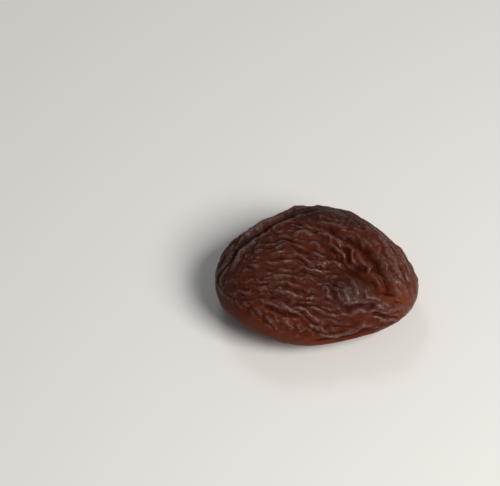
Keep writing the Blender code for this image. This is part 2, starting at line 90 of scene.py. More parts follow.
def add_camera():
    """A camera that sees the fruit as large, and as far from the picture's middle, as those pixels say."""
    pixel = size[0] * MM / FRUIT_PIXELS
    tilt = math.radians(EYE_ELEVATION)
    back = Vector((0.0, -math.cos(tilt), math.sin(tilt)))
    right = Vector((1.0, 0.0, 0.0))
    up = back.cross(right)
    middle = Vector((0.0, 0.0, size[2] * MM * 0.5))
    across = (PICTURE_WIDTH / 2 - FRUIT_MIDDLE[0]) * pixel
    rise = (FRUIT_MIDDLE[1] - PICTURE_HEIGHT / 2) * pixel
    aim = middle + right * across + up * rise
    camera = bpy.data.objects.new("camera", bpy.data.cameras.new("camera"))
    camera.data.sensor_width = SENSOR
    camera.data.lens = SENSOR * EYE_DISTANCE / (PICTURE_WIDTH * pixel)
    camera.data.clip_start = NEAREST_SEEN
    camera.location = aim + back * EYE_DISTANCE
    camera.rotation_euler = back.to_track_quat("Z", "Y").to_euler()
    bpy.context.scene.collection.objects.link(camera)
    bpy.context.scene.camera = camera
    return camera


camera = add_camera()
print("the lens is", round(camera.data.lens), "mm long")

# %% [markdown]
# ## One class for the shader maths
#
# A finish is a sum of masks: creases here, bloom there. Wired by hand that takes dozens of nodes, so one
# small class wraps a socket and lets Python's own operators add the Math nodes. Any other node comes from
# its one method, which takes the node's type, its settings and its sockets.


# %% A socket that can be added and multiplied
class Mask:
    """A socket of a material's node tree, which takes part in sums like a number."""

    def __init__(self, tree, end=None):
        self.tree = tree
        self.end = end

    def node(self, kind, settings=(), sockets=(), out=0):
        """A new node of that kind, with its settings and sockets filled in, known by one of its outputs."""
        made = self.tree.nodes.new(kind)
        for name, value in dict(settings).items():
            setattr(made, name, value)
        for name, value in dict(sockets).items():
            if isinstance(value, Mask):
                self.tree.links.new(value.end, made.inputs[name])
            else:
                made.inputs[name].default_value = value
        return Mask(self.tree, made.outputs[out])

    def maths(self, operation, first, second):
        settings = {"operation": operation}
        return self.node("ShaderNodeMath", settings, {0: first, 1: second})

    def __add__(self, other):
        return self.maths("ADD", self, other)

    def __radd__(self, other):
        return self.maths("ADD", other, self)

    def __sub__(self, other):
        return self.maths("SUBTRACT", self, other)

    def __rsub__(self, other):
        return self.maths("SUBTRACT", other, self)

    def __mul__(self, other):
        return self.maths("MULTIPLY", self, other)

    def __rmul__(self, other):
        return self.maths("MULTIPLY", other, self)

    def between(self, low, high):
        """0 below low, 1 above high, with a smooth rise between."""
        settings = {"interpolation_type": "SMOOTHSTEP"}
        return self.node("ShaderNodeMapRange", settings, {0: self, 1: low, 2: high})

    def mixed(self, under, over):
        """The colour under where this mask is 0, and over where it is 1."""
        settings = {"data_type": "RGBA", "clamp_factor": True}
        return self.node("ShaderNodeMix", settings, {0: self, 6: under, 7: over}, out=2)


def new_material(name):
    """A material with its Principled shader, and a mask to start its sums from."""
    material = bpy.data.materials.new(name)
    material.use_nodes = True
    tree = material.node_tree
    return material, tree.nodes["Principled BSDF"], Mask(tree)


def feed(shader, name, mask):
    """Lead the mask into the shader's socket of that name."""
    mask.tree.links.new(mask.end, shader.inputs[name])


# %% [markdown]
# ## Table and light
#
# A pale matt table shows the fruit plainly. Two soft lights do the rest, with painted light and painted
# shade in the fruit's colour. The larger one stands in front and to the right, so that the near side and the
# stalk end are brightest and the far rim goes dark; painted light on the stalk end and painted shade on the
# far rim add to that. A small one above and behind slides along the crests of the wrinkles and gives each a
# thin greyish line, and the grey on the crests and ridges is partly a painted highlight of the same kind.
# The colours are shown as they are, with no film curve over them.

# %% The table
# How far the table runs to each side of the fruit, in metres
TABLE_REACH = 1.5
TABLE_COLOUR = (0.80, 0.78, 0.75, 1.0)
TABLE_ROUGHNESS = 0.6


def add_table():
    """A flat square under the fruit."""
    mesh = bpy.data.meshes.new("table")
    ways = ((-1, -1), (1, -1), (1, 1), (-1, 1))
    corners = [(x * TABLE_REACH, y * TABLE_REACH, 0.0) for x, y in ways]
    mesh.from_pydata(corners, [], [(0, 1, 2, 3)])
    material, shader, _ = new_material("table")
    shader.inputs["Base Color"].default_value = TABLE_COLOUR
    shader.inputs["Roughness"].default_value = TABLE_ROUGHNESS
    mesh.materials.append(material)
    table = bpy.data.objects.new("table", mesh)
    bpy.context.scene.collection.objects.link(table)


add_table()
print("the table is", 2 * TABLE_REACH, "m wide")

# %% The lights
# name: (place in metres, width in metres, watts, colour)
LIGHTS = {
    "softbox_front": ((0.31, -0.28, 0.42), 0.30, 3.9, (1.0, 0.97, 0.94)),
    "softbox_behind": ((-0.10, 0.30, 0.45), 0.15, 0.3, (0.94, 0.97, 1.0)),
}
# The colour and the strength of the even light from all round
ROOM_LIGHT = (0.95, 0.97, 1.0, 1.0)
ROOM_STRENGTH = 0.15


def add_light(name, place, width, watts, colour):
    """A square softbox that faces the fruit."""
    data = bpy.data.lights.new(name, "AREA")
    data.size = width
    data.energy = watts
    data.color = colour
    light = bpy.data.objects.new(name, data)
    light.location = place
    light.rotation_euler = Vector(place).to_track_quat("Z", "Y").to_euler()
    bpy.context.scene.collection.objects.link(light)


def add_room():
    """An even light from all round."""
    world = bpy.data.worlds.new("room")
    world.use_nodes = True
    background = world.node_tree.nodes["Background"]
    background.inputs["Color"].default_value = ROOM_LIGHT
    background.inputs["Strength"].default_value = ROOM_STRENGTH
    bpy.context.scene.world = world


for name, softbox in LIGHTS.items():
    add_light(name, *softbox)
add_room()
bpy.context.scene.view_settings.view_transform = "Standard"
print(len(LIGHTS), "soft lights and an even room light")

# %% [markdown]
# ## The fruit before it wrinkled
#
# An apricot that is pitted and pressed turns from a ball into an oval cushion: a squarish crown, a rounder
# belly, and a rim between them. A formula can say all of that at once. It starts from directions spread
# over a ball, and gives each one a place on the cushion. All its numbers are millimetres, worked in the
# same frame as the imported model. A few broad hollows and mounds then shape the crown, where the flesh sank
# over the empty pit.

# %% Sizes of the cushion
# Driving dimensions of the flattened fruit: its heights are above and below the rim, and the foot's depth
# is how much of the belly's lowest part is cut off flat
LENGTH = 43.0
WIDTH = 35.4
CROWN_HEIGHT = 8.6
BELLY_HEIGHT = 7.4
FOOT_DEPTH = 0.35
# How square the crown and the belly are in section: 2 is round
CROWN_FULLNESS = 2.8
BELLY_FULLNESS = 2.1

# How the outline departs from an oval: (times round, share of the radius, angle of a high point)
OUTLINE_WAVES = ((1, 0.036, 88.0), (2, 0.004, 50.0), (3, 0.052, -23.5), (4, 0.024, -15.0))
# How far the widest line of the rim rises and falls: (times round, mm, angle of a high point)
RIM_WAVES = ((1, 0.4, 250.0), (2, 0.6, 20.0), (3, 0.3, 100.0), (4, 0.4, 45.0))

# Broad hollows and mounds on the crown, which fade out at the rim: (x, y, radius along x, along y, rise)
CROWN_FORMS = (
    (6.5, -2.5, 9.0, 6.5, -2.4),
    (-8.0, 1.0, 9.0, 8.0, -0.4),
    (7.2, -9.4, 3.7, 3.4, 1.2),
)
# How much the grid is drawn in towards the rim, where the skin turns fastest
RIM_GATHER = 0.18


def round_the_fruit(angle, waves):
    """The sum of a few waves round the fruit."""
    return sum(swing * np.cos(times * (angle - math.radians(high))) for times, swing, high in waves)


def smooth_form(directions):
    """The place on the cushion for each unit direction."""
    angle = np.arctan2(directions[:, 1], directions[:, 0])
    fall = np.arccos(np.clip(directions[:, 2], -1, 1))
    fall = fall - RIM_GATHER * np.sin(2 * fall)
    reach = np.sin(fall)
    oval = 1 / np.hypot(np.cos(angle) / (LENGTH / 2), np.sin(angle) / (WIDTH / 2))
    radius = oval * (1 + round_the_fruit(angle, OUTLINE_WAVES))
    x = radius * reach * np.cos(angle)
    y = radius * reach * np.sin(angle)
    fullness = np.where(fall < math.pi / 2, CROWN_FULLNESS, BELLY_FULLNESS)
    dome = np.sqrt(np.clip(1 - reach**fullness, 0, 1))
    z = np.where(fall < math.pi / 2, CROWN_HEIGHT, -BELLY_HEIGHT) * dome
    z += round_the_fruit(angle, RIM_WAVES) * reach**2
    above = np.clip(np.cos(fall), 0, 1) ** 0.5
    for cx, cy, rx, ry, rise in CROWN_FORMS:
        z += rise * above * np.exp(-(((x - cx) / rx) ** 2) - ((y - cy) / ry) ** 2)
    return np.stack([x, y, z], axis=1)


# %% A net of squares to draw the skin on
# Squares along each side of the starting cube
GRID = 160
# How far each direction is turned to feel the slope of the cushion there
NUDGE = 0.004
# The height on the ball from which the turn is worked out from the x axis and not from the upright one
NEAR_TOP = 0.7


def cube_ball(cells):
    """A cube with each side cut into squares, and the unit directions of its corners."""
    net = bmesh.new()
    bmesh.ops.create_cube(net, size=2.0)
    bmesh.ops.subdivide_edges(net, edges=net.edges[:], cuts=cells - 1, use_grid_fill=True)
    corners = np.array([vertex.co for vertex in net.verts])
    # the tangent keeps the squares nearly even on the ball
    spread = np.tan(corners * math.pi / 4)
    return net, spread / np.linalg.norm(spread, axis=1)[:, None]


def unit(rows):
    """Each row of numbers as an arrow of length 1."""
    return rows / (np.linalg.norm(rows, axis=1)[:, None] + 1e-9)


def normals_of(directions):
    """Outward normals of the cushion, from small steps to both sides of each direction."""
    helper = np.where(np.abs(directions[:, 2:]) < NEAR_TOP, [[0.0, 0.0, 1.0]], [[1.0, 0.0, 0.0]])
    side = unit(np.cross(directions, helper))
    other = np.cross(directions, side)

    def slope(way):
        return smooth_form(unit(directions + NUDGE * way)) - smooth_form(unit(directions - NUDGE * way))

    return unit(np.cross(slope(side), slope(other)))


net, directions = cube_ball(GRID)
places = smooth_form(directions)
normals = normals_of(directions)
print("the cushion has", len(net.faces), "squares")

# %% [markdown]
# ## Drawn folds
#
# The large folds are what makes this fruit this one: the slit behind the left edge, the crescent rim on
# the right, the bare channel that runs into it, and the mound with the deep crease under it. Each is a
# short line of points, drawn flat as the eye sees them and then dropped along the line of sight onto the
# cushion. Sculpting would do too, but a drawn line can be read, moved and drawn again. The unseen side has
# folds of its own, drawn by angles round the fruit and down from its top.

# %% The drawn folds
# The crown's folds are drawn as the camera's eye meets them. Each point is (across, up) from the middle of
# what the eye sees, which lies this far from the middle of the cushion. Rises are negative for creases.
EYE_CENTRE = (0.5, 0.4)
# (rise, half width, points)
CROWN_FOLDS = (
    # the puffed rim on the right, its inner groove, and the bare channel that runs into it from the middle
    (1.0, 2.4, (
        (-4, 14.2), (0.5, 13.9), (5, 12.6), (10, 10.3),
        (13.9, 7.1), (16.6, 3.4), (18.6, -0.8), (19.8, -3.8),
    )),
    (-0.9, 0.9, (
        (-3, 12.3), (2.7, 10.4), (6.5, 8.4), (9.7, 6.3), (12, 3.6), (13.6, 0.6), (15.5, -2.6), (18, -5.2),
    )),
    (-0.9, 1.5, ((3.3, 2.3), (6.5, 1.7), (9.7, 0.2), (12.5, -1.4), (15.5, -3.4), (18.3, -5.2))),
    # the lip of the under half behind the far left edge, the slit inside it, and the edge of the upper half
    (0.7, 0.8, (
        (-21.9, 0.5), (-20.8, 3.1), (-19.3, 5.5), (-17, 8), (-14, 9.6),
        (-11.5, 11.3), (-8.6, 12.8), (-5, 14.3), (0.8, 15.3), (5.0, 14.6),
    )),
    (-1.1, 0.85, (
        (-20.4, 1.3), (-18.3, 3.9), (-16.8, 6.2), (-14.7, 8.3),
        (-12.4, 9.9), (-9.4, 11.7), (-6.4, 13.2), (-3.3, 14.1), (0.3, 14.3), (3.2, 13.9),
    )),
    (0.4, 0.9, ((-18.1, 1.3), (-17.6, 3.4), (-16.4, 5.2), (-14.8, 6.9), (-12.2, 8.6))),
    (0.3, 0.35, (
        (-20.6, 2.4), (-19.0, 5.0), (-17.0, 7.7), (-14.8, 9.8), (-12.0, 11.4), (-9.0, 12.8), (-6.0, 14.0),
    )),
    # the small hooked wrinkle near the slit
    (0.35, 0.4, ((-7.1, 11.6), (-8.5, 11.3), (-9.2, 10.5), (-8.0, 9.8), (-6.5, 10.3))),
    # long wrinkles of the left and middle
    (-0.4, 0.4, ((-5.6, 11.6), (-4.1, 11.9), (-2.6, 11.0), (-0.5, 10.0), (1.2, 9.0))),
    (0.3, 0.4, ((-5.2, 9.2), (-3.3, 9.8), (-1.5, 9.6))),
    (-0.4, 0.4, ((-12.4, 7.9), (-10.2, 7.8), (-7.9, 8.4), (-4.8, 7.9), (-2.5, 7.6))),
    (-0.4, 0.4, ((-9.0, 6.4), (-5.6, 6.9), (-4.1, 6.3), (-2.6, 5.4), (-0.5, 4.9))),
    (0.35, 0.4, (
        (-12.0, 5.3), (-8.5, 5.3), (-5.5, 5.7), (-3.6, 5.0), (-2.0, 3.9), (0.3, 3.4), (3.5, 3.2),
    )),
    (-0.55, 0.4, (
        (-11.5, 4.4), (-7.9, 4.2), (-4.8, 4.7), (-3.2, 3.9), (-1.7, 2.8), (0.8, 2.1), (4.0, 2.3),
    )),
    (0.35, 0.4, ((-12.5, 3.3), (-9.0, 3.3), (-6.0, 3.6), (-3.6, 2.6), (-2.0, 1.9), (0.8, 1.3), (3.5, 1.2))),
    (-0.4, 0.4, ((-13.5, 2.2), (-8.6, 1.6), (-6.4, 1.1), (-3.3, 1.3), (-1.0, 0.9), (1.5, 0.4))),
    (0.3, 0.4, ((-14.0, 1.0), (-10.5, 0.9), (-7.5, 0.3), (-4.5, 0.3), (-1.5, 0.0), (0.5, -0.6))),
    (-0.4, 0.4, (
        (-14.5, -0.5), (-12.4, -1.2), (-10.2, -1.1), (-7.1, -1.4), (-4.8, -2.1), (-2.6, -3.0), (0.8, -3.7),
    )),
    (0.3, 0.4, ((-14.8, -2.0), (-12.5, -2.4), (-9.5, -2.2), (-6.5, -2.9), (-4.0, -3.7), (-1.0, -4.6))),
    (-0.35, 0.4, (
        (-15.2, -3.4), (-12.8, -4.0), (-10.0, -3.9), (-7.5, -4.3), (-5.0, -5.0), (-1.5, -5.6), (2.0, -5.8),
    )),
    (0.3, 0.4, ((-14.0, -4.6), (-11.0, -5.2), (-8.0, -5.8), (-5.2, -6.2), (-2.0, -6.6), (1.0, -6.8))),
    (-0.5, 0.4, ((-13.0, -4.9), (-11.0, -5.7), (-9.2, -6.5), (-7.1, -7.5), (-5.2, -7.9), (-3.6, -7.4))),
    # folds between the middle and the upper rim
    (0.55, 0.6, ((2.4, 9.0), (3.4, 6.8), (5.0, 5.4), (6.1, 4.0))),
    (0.6, 0.5, ((7.1, 6.8), (7.5, 5.0), (8.2, 3.4), (8.8, 2.2))),
    (-0.4, 0.5, ((5.6, 7.9), (6.2, 6.0), (6.9, 4.2), (7.2, 2.8))),
    (0.5, 0.45, ((9.6, 4.8), (9.8, 3.9), (10.2, 2.6))),
    (0.45, 0.4, ((10.4, 2.0), (11.6, 1.7))),
    (0.35, 0.5, ((-0.9, 4.6), (0.5, 4.4), (2.1, 3.4), (3.9, 3.1), (5.4, 2.7))),
    # the dark mound over the pit's hollow: its hood, a ridge on it, and the creases beside and under it
    (0.35, 0.5, ((1.4, -0.9), (3.2, 0.2), (5.4, 0.5), (6.9, 0.3), (7.7, -0.9), (8.2, -2.6), (8.3, -4.1))),
    (0.2, 0.5, ((5.2, -1.8), (6.0, -3.4), (7.0, -5.6))),
    (0.25, 0.4, ((9.8, -1.8), (10.3, -3.2), (10.2, -4.6))),
    (-0.4, 0.5, ((2.9, -1.8), (3.1, -3.4), (3.9, -5.0), (5.6, -6.3))),
    (-0.65, 0.6, ((4.2, -6.2), (5.6, -6.5), (7.2, -6.3), (8.9, -5.9), (11.3, -5.5), (13.2, -5.0))),
    (0.25, 0.5, ((4.2, -7.4), (6.0, -7.3), (8.6, -6.8), (11.4, -6.3), (14.0, -6.0))),
    # knotted skin left of the mound
    (0.35, 0.4, ((1.2, -0.3), (2.1, 0.5), (3.3, 0.4), (4.2, -0.2))),
    (0.35, 0.4, ((0.4, -2.4), (1.4, -2.0), (2.4, -2.6), (2.0, -3.4))),
    (-0.35, 0.4, ((0.8, -1.2), (2.2, -0.9), (3.4, -1.5), (4.6, -1.4))),
    # creases that gather at the right, towards the stalk end
    (-0.5, 0.4, ((11.0, -7.4), (13.7, -7.7), (15.6, -8.1), (17.2, -8.3))),
    (0.3, 0.4, ((12.4, -8.8), (14.5, -8.5), (16.0, -8.7), (17.2, -8.9))),
    (0.3, 0.4, ((14.2, -6.5), (16.1, -6.2), (17.9, -6.4))),
    (-0.35, 0.4, ((13.0, -9.7), (14.8, -9.6), (16.2, -9.6))),
    # ridges along the right rim
    (0.2, 0.5, ((12.6, 8.2), (14.5, 5.9), (16.0, 3.0), (17.0, 0.2), (18.0, -2.2))),
    (0.2, 0.5, ((16.6, 6.6), (18.2, 4.0), (19.2, 1.4), (20.3, -0.6))),
    (-0.2, 0.5, ((14.0, 8.0), (16.2, 5.0), (17.6, 2.0), (18.9, -1.2), (19.6, -4.0))),
    # short folds along the front edge of the crown, and the long fold over the plain front side
    (0.35, 0.5, ((-15.6, -4.8), (-14.6, -6.4))),
    (0.35, 0.5, ((-13.3, -6.0), (-12.0, -7.8))),
    (0.35, 0.5, ((-11.4, -7.6), (-9.6, -9.6))),
    (0.35, 0.5, ((-9.4, -7.7), (-7.7, -9.9))),
    (0.35, 0.5, ((-7.0, -8.8), (-5.4, -10.7))),
    (0.35, 0.5, ((-4.6, -9.2), (-3.0, -11.1))),
    (0.35, 0.5, ((-2.0, -9.0), (-1.2, -10.9))),
    (0.35, 0.5, ((0.4, -9.2), (1.0, -10.6), (2.4, -11.0))),
    (0.5, 0.7, (
        (-0.5, -11.7), (2.0, -11.9), (4.2, -11.7), (6.3, -11.0), (8.3, -10.4), (10.6, -9.8), (13.0, -9.6),
    )),
    (-0.5, 0.7, ((-3.0, -12.8), (0.8, -13.0), (4.2, -12.9), (7.2, -12.2), (10.0, -11.2), (13.0, -10.6))),
)

# Folds of the far side and the belly: each point is (degrees round the fruit, degrees down from the top)
HIDDEN_FOLDS = (
    # the lip and slit run on round the back to the stalk end
    (0.4, 0.9, ((96, 66), (80, 70), (62, 76), (44, 81), (28, 85), (14, 88))),
    (-0.9, 0.5, ((104, 55), (90, 58), (72, 64), (54, 71), (36, 77), (22, 82), (12, 86))),
    # creases that fan out over the belly from the stalk end
    (-0.8, 0.6, ((-22, 108), (-27, 118), (-38, 129), (-62, 138), (-100, 140))),
    (-1.0, 0.7, ((-14, 108), (-4, 120), (12, 134), (60, 148), (130, 140), (158, 124))),
    (-0.8, 0.6, ((-6, 106), (12, 112), (32, 120), (56, 124), (86, 122))),
    (-0.7, 0.6, ((-30, 110), (-42, 120), (-60, 131), (-80, 135), (-104, 133))),
    (0.6, 0.7, ((-18, 110), (-14, 125), (-10, 140), (-40, 158))),
    (0.6, 0.7, ((0, 108), (16, 120), (38, 132), (74, 138), (112, 132))),
    (0.5, 0.7, ((-34, 116), (-50, 127), (-74, 139), (-110, 141), (-136, 131))),
    # creases of the far end of the belly
    (-0.8, 0.6, ((178, 96), (186, 110), (196, 126), (228, 144))),
    (-0.7, 0.6, ((164, 98), (158, 110), (142, 122), (118, 128))),
    (0.6, 0.6, ((171, 96), (170, 112), (168, 128), (150, 146))),
    (-0.7, 0.5, ((200, 96), (210, 108), (226, 118), (244, 122))),
    (0.5, 0.6, ((192, 98), (202, 112), (220, 128), (250, 134))),
)

print(len(CROWN_FOLDS), "folds drawn on the crown and", len(HIDDEN_FOLDS), "behind and below")


# %% Nothing runs quite straight or even
# How far folds and wrinkles wander, how far it is from bend to bend, and how much their strength varies
WANDER_SEED = 7
WOBBLE = 0.55
BEND = 2.4
UNEVENNESS = 1.0
# Folds of this half width or less vary fully, and wider ones less
NARROW = 0.4


def step(low, high, values):
    """0 below low, 1 above high and a smooth rise between."""
    share = np.clip((values - low) / (high - low), 0, 1)
    return share * share * (3 - 2 * share)


def wobbled(places):
    """The places moved a little to and fro, so that nothing drawn over them runs quite straight."""
    noise.seed_set(WANDER_SEED)
    return places + WOBBLE * np.array([noise.noise_vector(Vector(place / BEND)) for place in places])


def uneven(places):
    """A share round 1 for each place, so that no fold or wrinkle is equally strong all along."""
    return 1 + UNEVENNESS * np.array([noise.noise(Vector(place / BEND)) for place in places])


drawn = wobbled(places)
print("the places wander by up to", round(np.abs(drawn - places).max(), 2), "mm")


# %% Lay the folds on the cushion
# How far a fold reaches and where a crease's raised shoulders stand, in half widths
FOLD_REACH = 3.2
SHOULDER_PLACE = 1.9
SHOULDER_SHARE = 0.25
# How blunt the bottom of a crease is: 2 is round, and less is sharper
CREASE_POWER = 1.4
# The share of a fold's length in which it rises or fades at each end
FOLD_ENDS = 0.25
# How close the points of a fold's line are: on the crown in mm, and on the hidden sides in degrees
CROWN_SPACING = 0.25
HIDDEN_SPACING = 0.8
# How far off along the line its nearest point may be for a place to count as right beside it
BESIDE = 0.4
# The net that the crown's folds are dropped on, in squares along a side, and how far off the drop begins
COARSE_GRID = 96
DROP_FROM = 100


def eye_axes():
    """The eye's right, up and line of sight."""
    tilt = math.radians(EYE_ELEVATION)
    right = np.array([1.0, 0.0, 0.0])
    up = np.array([0.0, math.sin(tilt), math.cos(tilt)])
    sight = np.array([0.0, math.cos(tilt), -math.sin(tilt)])
    return right, up, sight


def smooth_line(points, spacing):
    """Points every spacing or so along a Catmull-Rom curve through the given ones."""
    points = np.array(points, float)
    padded = np.vstack([2 * points[0] - points[1], points, 2 * points[-1] - points[-2]])
    line = []
    for a, b, c, d in zip(padded, padded[1:], padded[2:], padded[3:]):
        count = max(2, int(np.linalg.norm(c - b) / spacing))
        t = np.linspace(0, 1, count, endpoint=False)[:, None]
        bend = (2 * a - 5 * b + 4 * c - d) * t**2 + (3 * b - 3 * c + d - a) * t**3
        line.append(b + 0.5 * ((c - a) * t + bend))
    return np.vstack([*line, points[-1:]])


def dropped_on(tree, flat):
    """Points drawn in the eye's plane, moved along the line of sight onto the cushion."""
    right, up, sight = eye_axes()
    landed = []
    for across, rise in flat + np.array(EYE_CENTRE):
        start = right * across + up * rise
        hit = tree.ray_cast(Vector(start - DROP_FROM * sight), Vector(sight))[0]
        landed.append(hit or tree.find_nearest(Vector(start))[0])
    return np.array(landed)


def round_and_down(degrees):
    """Points of the cushion at the given angles round it and down from its top."""
    around, down = np.radians(degrees).T
    down = down + RIM_GATHER * np.sin(2 * down)
    flat = np.sin(down)
    return smooth_form(np.stack([flat * np.cos(around), flat * np.sin(around), np.cos(down)], axis=1))


def lay_folds():
    """Each fold as (rise, half width, points on the cushion, share of the rise at each point)."""
    coarse, ways = cube_ball(COARSE_GRID)
    bmesh.ops.triangulate(coarse, faces=coarse.faces[:])
    corners = [[vertex.index for vertex in face.verts] for face in coarse.faces]
    tree = BVHTree.FromPolygons(smooth_form(ways).tolist(), corners)
    coarse.free()
    lines = [dropped_on(tree, smooth_line(points, CROWN_SPACING)) for _, _, points in CROWN_FOLDS]
    lines += [round_and_down(smooth_line(points, HIDDEN_SPACING)) for _, _, points in HIDDEN_FOLDS]
    laid = []
    for (rise, half_width, _), line in zip(CROWN_FOLDS + HIDDEN_FOLDS, lines):
        along = np.linspace(0, 1, len(line))
        share = step(0.0, FOLD_ENDS, np.minimum(along, 1 - along))
        share *= 1 + (uneven(line) - 1) * min(1.0, NARROW / half_width) ** 2
        laid.append((rise, half_width, line, share))
    return laid


def fold_relief(places, folds):
    """How far the folds lift or sink each place: round ridges, and creases with raised shoulders."""
    relief = np.zeros(len(places))
    for rise, half_width, line, share in folds:
        reach = FOLD_REACH * half_width
        inside = ((places > line.min(0) - reach) & (places < line.max(0) + reach)).all(1)
        near = np.flatnonzero(inside)
        if not len(near):
            continue
        run = unit(np.gradient(line, axis=0))
        closest = ((places[near, None] - line[None]) ** 2).sum(2).argmin(1)
        offset = places[near] - line[closest]
        past = np.clip((offset * run[closest]).sum(1), -BESIDE, BESIDE)
        away = np.sqrt(np.clip((offset**2).sum(1) - past**2, 0, None)) / half_width
        ridge = np.exp(-(away**2))
        crease = np.exp(-(away**CREASE_POWER)) - SHOULDER_SHARE * np.exp(-2 * (away - SHOULDER_PLACE) ** 2)
        relief[near] += rise * share[closest] * (ridge if rise > 0 else crease)
    return relief


folds = lay_folds()
folded = fold_relief(drawn, folds)
print("the folds rise", round(folded.max(), 2), "mm and sink", round(-folded.min(), 2), "mm")

# %% [markdown]
# ## Wrinkles that follow the folds
#
# Skin that shrinks over soft flesh buckles into rows of wrinkles, round on top and sharp between. Plain
# noise has no rows. So short runs of waves are set at thousands of places on the skin, each turned the way
# of the folds beside it, and their sum is taken without its sign, which makes crests round and creases
# sharp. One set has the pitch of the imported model's wrinkles, and a finer one is added only here.

# %% Where the wrinkles are weak
# Below this line of the view the front side is plain: (across, up)
PLAIN_FRONT_EDGE = (
    (-20, -3), (-15, -6.5), (-12, -8.3), (-9.5, -10), (-5, -11.3), (4, -12), (10, -10.6), (20, -8.5),
)
# Plainer patches: (across, up, radius across, radius up, share of the wrinkles lost)
PLAIN_PATCHES = (
    # the shoulders at both ends
    (-18.4, -0.5, 2.2, 5.0, 0.7), (21.0, -5.5, 3.2, 5.5, 0.7),
    # the bare channel and the groove that it runs into
    (9.5, 0.6, 3.6, 1.3, 0.9), (14.0, -2.4, 3.6, 1.6, 0.9), (11.5, 4.2, 2.2, 2.2, 0.7),
    # the far rim, where only fine crinkles show
    (-14.5, 10.5, 6.5, 2.6, 0.7), (2.0, 15.2, 12.0, 1.8, 0.8), (15.5, 9.8, 4.5, 3.0, 0.6),
    (21.5, 1.5, 2.0, 4.0, 0.6),
    # the smooth top of the mound and the plain skin below it
    (7.2, -3.0, 3.8, 2.8, 0.75), (9.5, -8.4, 7.0, 1.9, 0.8),
)
# How much of the wrinkles the plain front side loses, and how softly it sets in
PLAINNESS = 0.85
PLAIN_BLEND = 1.8
# How far back from the middle the front side begins: (none of it, all of it)
FRONT_SIDE_BEGINS = (6.0, 0.0)
# The heights between which the plain front side and the patches end: (none of it, all of it)
FRONT_SIDE_ENDS = (-7.0, -5.5)
PATCHES_END = (-4.0, -1.0)
# How the belly's folds and wrinkles fade towards the foot: (radius of none, radius of all)
FOLDS_AT_FOOT = (4.0, 9.0)
WRINKLES_AT_FOOT = (5.0, 12.0)


def belly_fade(places, radii):
    """1 on the crown, and on the belly a rise from 0 at the foot to 1 outside it."""
    from_foot = np.hypot(places[:, 0], LENGTH / WIDTH * places[:, 1])
    return np.where(places[:, 2] < 0, step(*radii, from_foot), 1.0)


def as_seen(places):
    """How far across and up the eye sees each place."""
    right, up, _ = eye_axes()
    return places @ right - EYE_CENTRE[0], places @ up - EYE_CENTRE[1]


def front_side(places):
    """1 on the plain near side below the crown's edge."""
    across, rise = as_seen(places)
    edge = np.interp(across, *np.transpose(PLAIN_FRONT_EDGE))
    front = step(0.0, PLAIN_BLEND, edge - rise) * step(*FRONT_SIDE_BEGINS, places[:, 1])
    return front * step(*FRONT_SIDE_ENDS, places[:, 2])


def seen_patch(places, x, y, x_radius, y_radius):
    """A soft oval patch drawn as the eye sees it, kept off the belly."""
    across, rise = as_seen(places)
    oval = np.exp(-(((across - x) / x_radius) ** 2) - ((rise - y) / y_radius) ** 2)
    return oval * step(*PATCHES_END, places[:, 2])


def painted(places, patches):
    """The strongest of the soft patches at each place, and 0 outside them all."""
    total = np.zeros(len(places))
    for *oval, strength in patches:
        total = np.maximum(total, strength * seen_patch(places, *oval))
    return total


def wrinkle_share(places):
    """How much of the wrinkles each place keeps."""
    share = 1 - PLAINNESS * front_side(places)
    for *patch, loss in PLAIN_PATCHES:
        share *= 1 - loss * seen_patch(places, *patch)
    return share * belly_fade(places, WRINKLES_AT_FOOT)


# %% The rows of wrinkles
# The rows come from short runs of waves at seeded places, each lying along the folds round it. The pitch is
# from crest to crest, and a run fades within this length, breadth and depth of its own place.
WRINKLE_SEED = 5
WRINKLE_PLACES = 2600
WRINKLE_PITCH = 1.7
WRINKLE_RISE = 0.27
WRINKLE_LENGTH = 1.7
WRINKLE_BREADTH = 1.0
WRINKLE_DEPTH = 1.0
# How much one run's pitch may differ from another's: (narrowest, widest share)
PITCH_SPREAD = (0.8, 1.3)
# How far off a run is still felt, in lengths, and what every place has at least of all runs together
RUN_REACH = 2.4
LEAST_ENERGY = 1e-3
# How blunt the creases between wrinkles are: 0 is sharp
CREASE_SOFTNESS = 0.03
# How far any one run may be turned from the way of its neighbours, in radians
WRINKLE_TURN = 0.35
# The height between crease and crest that counts as level
WRINKLE_LEVEL = 0.6
# Away from the drawn folds the wrinkles run lengthwise, sway by up to this much and gather at both ends
SWAY = 1.3
SWAY_SIZE = 7.5
SIDEWAYS_DRIFT = -0.12
END_DROP = 0.4
END_SPREAD = 6.0
# How far a drawn fold turns the wrinkles beside it, and how firmly they keep to their own way
FOLD_PULL = 1.8
OWN_PULL = 1.5


def spread_evenly(count):
    """That many unit directions, evenly spread along a spiral from top to bottom."""
    height = 1 - (2 * np.arange(count) + 1) / count
    around = math.pi * (3 - math.sqrt(5)) * np.arange(count)
    ring = np.sqrt(1 - height**2)
    return np.stack([ring * np.cos(around), ring * np.sin(around), height], axis=1)


